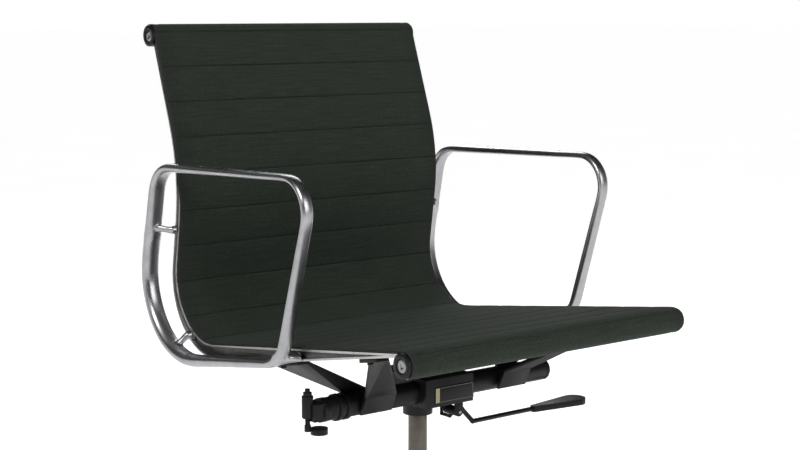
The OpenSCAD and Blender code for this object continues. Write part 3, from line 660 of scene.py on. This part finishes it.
def padded_sling(shape, material):
    """The quilted pad. Its edge laps over the ribs' front flanges, and wraps them on the upper back."""
    lines = channel_places(shape)
    thickness = shape["thickness"]
    spread = np.array(ROWS_BY_LINE) * MM
    stations = np.concatenate([np.arange(0, shape["run"][-1], ROW_STEP), shape["run"][-1:],
                               (lines[:, None] + spread[None, :]).ravel()])
    stations = np.unique(np.round(stations[stations <= shape["run"][-1]], 5))
    stations = stations[np.concatenate([[True], np.diff(stations) > LEAST_ROW])]
    at = [np.interp(stations, shape["run"], column) for column in (*shape["line"].T, *shape["normals"].T)]
    face_line, normals = np.stack(at[:2], 1), np.stack(at[2:], 1)
    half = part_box("sling")[1].x
    rib_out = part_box("rib_right")[1].x
    stud = stud_places()[-1]
    beside_stud = shape["run"][np.argmin(np.linalg.norm(shape["line"] - stud, axis=1))]
    wrapped = fade(stations, beside_stud + WRAP_START, beside_stud + WRAP_END)
    on_top = fade(stations, *(shape["top"] + step for step in TOP_BLEND))
    behind_front = fade(stations, *(shape["front"] + step for step in FRONT_BLEND))
    on_roll = np.maximum(on_top, 1 - behind_front)
    lip = LIP_T + (WRAP_T - LIP_T) * wrapped
    lip = lip + (ROLL_LIP_T - lip) * on_roll
    nose = np.minimum(lip, EDGE_ROUND) / 2
    reach = rib_out - LIP_SHORT + (LIP_SHORT + WRAP_OVER) * wrapped

    distance = np.abs(stations[:, None] - lines[None, :]).min(1)
    between = np.clip(distance / (CHANNEL_PITCH / 2), 0, 1)
    crown = PILLOW * np.sin(between * math.pi / 2) ** PILLOW_POWER * (1 - on_roll)
    groove = STITCH_DEPTH * np.exp(-(distance / STITCH_W) ** 2)

    across_face = np.linspace(-1, 1, FACE_COLUMNS)
    face_x = across_face[None, :] * (reach - nose)[:, None]
    inward = reach[:, None] - np.abs(face_x)
    tight = np.clip(inward / TIGHT_BAND, 0, 1) ** TIGHT_POWER
    hem = HEM_DEPTH * np.exp(-((inward - HEM_IN) / HEM_W) ** 2)
    creases = crease_field(stations, across_face * rib_out, shape["front"])
    pillow = (crown - groove * (1 - GROOVE_AT_EDGE))[:, None] * tight
    height = pillow - (groove * GROOVE_AT_EDGE)[:, None] - hem + creases * tight

    verts = []
    across = []
    along = []
    nose_turn = [math.radians(a) for a in NOSE_TURNS]
    back_turn = nose_turn[::-1]
    back_x = np.linspace(half - EDGE_ROUND, -(half - EDGE_ROUND), BACK_COLUMNS)
    for i, station in enumerate(stations):
        r = nose[i]
        side = [(reach[i] - r + r * math.sin(a), r * (1 - math.cos(a))) for a in nose_turn]
        side += [(reach[i] - r + r * math.sin(a), lip[i] - r * (1 - math.cos(a))) for a in back_turn]
        side += [(half, lip[i])]
        side += [(half - EDGE_ROUND * (1 - math.sin(a)), thickness - EDGE_ROUND * (1 - math.cos(a)))
                 for a in back_turn]
        back_depth = thickness - 0.6 * groove[i]
        ring = [(x, -h) for x, h in zip(face_x[i], height[i])] + side
        ring += [(x, back_depth) for x in back_x]
        ring += [(-x, depth) for x, depth in reversed(side)]
        for x, depth in ring:
            verts.append((x, *(face_line[i] - normals[i] * depth)))
            across.append(x)
            along.append(station)
    size = len(ring)
    faces = grid_faces(len(stations), size)
    faces.append(tuple(range(size))[::-1])
    faces.append(tuple(range((len(stations) - 1) * size, len(stations) * size)))
    piece = new_piece("padded_sling", verts, faces, material, BODY_OF["sling"])
    metre_map(piece.data, across, along)
    recalculate(piece)
    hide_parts("sling")


def crease_field(run, xs, roll_end):
    """Soft cross creases where the seat turns up, and a slow waviness everywhere."""
    field = np.zeros((len(run), len(xs)))
    span = run[-1]
    for k in range(CREASES):
        at_bend = k < BEND_CREASES
        centre = rng.normal(BEND_AT, 0.05) * span if at_bend else rng.uniform(0.08, 0.95) * span
        middle = rng.uniform(-0.2, 0.2)
        long = rng.uniform(0.05, 0.16)
        wide = rng.uniform(3, 8) * MM if at_bend else rng.uniform(14, 40) * MM
        tall = rng.uniform(0.15, 0.45) * MM * rng.choice([-1, 1])
        slope = rng.normal(0, 0.04)
        s = run[:, None] - centre - slope * (xs[None, :] - middle)
        field += tall * np.exp(-(s / wide) ** 2) * np.exp(-((xs[None, :] - middle) / long) ** 2)
    return field * np.clip((run - roll_end) / (30 * MM), 0, 1)[:, None]


# ---- The cast arms ----

ARM_STEP = 4 * MM
ARM_SIDES = 30
ARM_VOXEL = 1.25 * MM
ARM_SQUARENESS = 0.82
# The crest of the arm's outer side: how squarely it looks sideways and how near the outermost X it lies
CREST_FACING = 0.96
CREST_NEAR = 5 * MM
TWIN_NEAR = 0.1 * MM
# The half thickness is read from the corners this near the crest, along the line and across it
SLICE_ALONG = 1.2 * MM
SLICE_ACROSS = 12 * MM
# Y of the two small plugs in each armrest, how deep they start, and their height and radius in millimetres
ARM_PLUGS = (0.155, -0.010)
PLUG_SINK = 1.5 * MM
PLUG_RINGS = [(0, 2.3), (1.7, 2.3), (1.95, 1.8)]
PLUG_SIDES = 20
# A slanting stud: its radius in millimetres by share of its length, from the rib to the arm
STUD_TAPER = [(0.0, 5.6), (0.3, 5.0), (0.6, 5.3), (0.8, 7.0), (0.95, 10.0)]
STUD_NECK = [7.2, 6.4, 5.6]
STUD_NECK_L = 7 * MM
# The foot: its two radii in millimetres by share of the way out from the rib
FOOT_TAPER = [(0.0, 19, 6), (0.2, 15, 6.6), (0.5, 11.5, 7.4), (0.8, 10, 8), (1.0, 9, 6)]
FOOT_SLOPE = 0.14


def arm_line():
    """The right arm's middle line, as rows of y, z, half width, half thickness and x."""
    work = bmesh.new()
    work.from_mesh(NODES["arm_right"].data)
    bmesh.ops.remove_doubles(work, verts=work.verts, dist=SAME_PLACE)
    work.normal_update()
    points = np.array([v.co for v in work.verts])
    facing = np.array([v.normal.x for v in work.verts])
    work.free()
    outer = points[(facing > CREST_FACING) & (points[:, 0] > points[:, 0].max() - CREST_NEAR)]
    middle = outer[:, 1:].mean(0)
    outer = outer[np.argsort(np.arctan2(outer[:, 2] - middle[1], outer[:, 1] - middle[0]))]
    rows = []
    for k, crest in enumerate(outer):
        twins = points[np.linalg.norm(points[:, 1:] - crest[1:], axis=1) < TWIN_NEAR]
        inner = twins[np.argmin(twins[:, 0])]
        along = outer[(k + 1) % len(outer)][1:] - outer[k - 1][1:]
        along /= np.linalg.norm(along)
        offset = points[:, 1:] - crest[1:]
        ahead, aside = offset @ along, offset @ np.array([-along[1], along[0]])
        near = (np.abs(ahead) < SLICE_ALONG) & (np.abs(aside) < SLICE_ACROSS)
        rows.append([*crest[1:], (crest[0] - inner[0]) / 2, np.abs(aside[near]).max(),
                     (crest[0] + inner[0]) / 2])
    rows = np.array(rows)
    usual = np.median(rows[:, 4])
    # Where a stud or the foot hides the inner side, the width comes from the outer side alone
    plain = np.abs(rows[:, 4] - usual) < 0.5 * MM
    rows[:, 2] = np.where(plain, rows[:, 2], outer[:, 0] - usual)
    rows[:, 4] = usual
    return smooth_line(rows, ARM_STEP, closed=True)


def oval(angle, power):
    """A point on a circle pushed towards its box."""
    c, s = math.cos(angle), math.sin(angle)
    return math.copysign(abs(c) ** power, c), math.copysign(abs(s) ** power, s)


def rod_rings(places, radii, up, sides=24):
    """Points of a straight tapering rod; each radius pair is across and along the given direction."""
    axis = Vector(places[-1]) - Vector(places[0])
    side = axis.cross(Vector(up)).normalized()
    top = side.cross(axis).normalized()
    verts = []
    for place, (a, b) in zip(places, radii):
        for k in range(sides):
            turn = 2 * math.pi * k / sides
            verts.append(tuple(Vector(place) + side * (a * math.cos(turn)) + top * (b * math.sin(turn))))
    faces = grid_faces(len(places), sides)
    faces.append(tuple(range(sides)))
    faces.append(tuple(range((len(places) - 1) * sides, len(places) * sides))[::-1])
    return verts, faces


def arm_mesh():
    """The right arm's line, and its loop, two slanting studs and foot as closed shells that overlap."""
    line = arm_line()
    out = turn_normals(line[:, :2], closed=True)
    verts = []
    for (y, z, wide, thick, x), (ny, nz) in zip(line, out):
        for k in range(ARM_SIDES):
            c, s = oval(2 * math.pi * k / ARM_SIDES, ARM_SQUARENESS)
            verts.append((x + wide * c, y + ny * thick * s, z + nz * thick * s))
    shells = [(verts, grid_faces(len(line), ARM_SIDES, close_rows=True))]
    rib_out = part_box("rib_right")[1].x + 0.2 * MM
    arm_x = line[0, 4]
    studs = stud_places()
    up = (0, 0, 1)
    for y, z in studs[1:]:
        near = line[np.argmin(np.linalg.norm(line[:, :2] - (y, z), axis=1))]
        start, end = Vector((rib_out, y, z)), Vector((arm_x, near[0], near[1]))
        turn = Vector((rib_out + STUD_NECK_L, y, z))
        neck = [start, start.lerp(turn, 0.5), turn + Vector((2 * MM, 0, 0))]
        shells.append(rod_rings(neck, [(r * MM, r * MM) for r in STUD_NECK], up))
        shells.append(rod_rings([turn.lerp(end, t) for t, r in STUD_TAPER],
                                [(r * MM, r * MM) for t, r in STUD_TAPER], up))
    y, z = studs[0]
    shells.append(rod_rings([(rib_out + (arm_x - rib_out) * t, y, z) for t, a, b in FOOT_TAPER],
                            [(a * MM, b * MM) for t, a, b in FOOT_TAPER],
                            (0, -math.sin(FOOT_SLOPE), math.cos(FOOT_SLOPE))))
    verts, faces = [], []
    for points, quads in shells:
        faces += [tuple(len(verts) + v for v in quad) for quad in quads]
        verts += points
    return line, verts, faces


def cast_arms(material, plug_material):
    line, verts, faces = arm_mesh()
    for node, sign in (("arm_right", 1), ("arm_left", -1)):
        piece = new_piece(node + "_cast", [(sign * x, y, z) for x, y, z in verts], faces, material,
                          BODY_OF[node])
        recalculate(piece)
        fused = piece.modifiers.new("fused", "REMESH")
        fused.mode = "VOXEL"
        fused.voxel_size = ARM_VOXEL
        fused.use_smooth_shade = True
        filleted = piece.modifiers.new("filleted", "SMOOTH")
        filleted.factor = 0.5
        filleted.iterations = 10
        apply_modifiers(piece)
        piece.data.polygons.foreach_set("use_smooth", [True] * len(piece.data.polygons))
        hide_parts(node)
        top = line[line[:, 1] > line[:, 1].mean()]
        for number, place in enumerate(ARM_PLUGS):
            near = top[np.argmin(np.abs(top[:, 0] - place))]
            low = Vector((sign * near[4], near[0], near[1] + near[3] - PLUG_SINK))
            rings = [low + Vector((0, 0, h * MM)) for h, r in PLUG_RINGS]
            radii = [(r * MM, r * MM) for h, r in PLUG_RINGS]
            plug_verts, plug_faces = rod_rings(rings, radii, (0, 1, 0), PLUG_SIDES)
            plug = new_piece(f"{node}_plug_{number}", plug_verts, plug_faces, plug_material, BODY_OF[node])
            recalculate(plug)


# ---- The label on the mechanism ----

STRIP_W = 8 * MM
STRIP_RAISED = 0.35 * MM
BORDER_IN = 1.6 * MM
BORDER_W = 0.5 * MM
BORDER_RAISED = 0.12 * MM
TRIM_SINK = 0.1 * MM


def flat_block(name, low, high, material, body):
    corners = [(x, y, z) for x in (low[0], high[0]) for y in (low[1], high[1]) for z in (low[2], high[2])]
    faces = [(0, 1, 3, 2), (4, 6, 7, 5), (0, 4, 5, 1), (2, 3, 7, 6), (0, 2, 6, 4), (1, 5, 7, 3)]
    piece = new_piece(name, corners, faces, material, body, smooth=False)
    recalculate(piece)


def label_trim(line_material, paper_material):
    """A thin printed border and a strip of old paper at the left end of the blank plate."""
    low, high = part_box("label_plate")
    front = low.y
    body, slot = BODY_OF["label_plate"], SLOT_OF["label_plate"]
    margin = 0.06 * (high.z - low.z)
    strip_end = low.x + STRIP_W
    flat_block("label_strip", (low.x + 1 * MM, front - STRIP_RAISED, low.z + margin),
               (strip_end, front + TRIM_SINK, high.z - margin), paper_material, body)
    x0, x1, z0, z1 = strip_end + BORDER_IN, high.x - BORDER_IN, low.z + BORDER_IN, high.z - BORDER_IN
    bars = {"low": (x0, x1, z0, z0 + BORDER_W), "high": (x0, x1, z1 - BORDER_W, z1),
            "end": (x1 - BORDER_W, x1, z0, z1)}
    for part, (a, b, c, d) in bars.items():
        flat_block("label_border_" + part, (a, front - BORDER_RAISED, c), (b, front + TRIM_SINK, d),
                   line_material, body)


# ---- Build ----

make_camera()
make_world()
MATERIALS = make_materials()

make_floor()
sun_light("key", (0.75, 0.6, -1.15), 1.6, 30)
area_light("left_box", (-2.6, -0.2, 1.9), (0, 0, 0.55), 1.6, 2.2, 11)
area_light("front_box", (0.6, -2.9, 1.7), (0, 0, 0.6), 1.8, 1.6, 28)
area_light("back_box", (1.4, 2.2, 1.9), (0, 0, 0.6), 1.6, 1.2, 24)
SLING = sling_shape()
padded_sling(SLING, fabric(channel_places(SLING)[0], SLING["front"]))
cast_arms(MATERIALS["polished_cast"], MATERIALS["bright_steel"])
label_trim(MATERIALS["printed_line"], MATERIALS["old_paper"])

# Millimetres of edge rounding, where it is not the usual one
USUAL_ROUNDING = 0.6
ROUNDING = {"base_star": 3.0, "lever_paddle": 2.0, "end_caps": 1.2, "mechanism_housing": 1.6}
for node_name in NODES:
    if node_name not in ("sling", "arm_left", "arm_right"):
        softened(node_name, MATERIALS[SLOT_OF[node_name]], ROUNDING.get(node_name, USUAL_ROUNDING) * MM)

bpy.context.scene.view_settings.view_transform = "Standard"
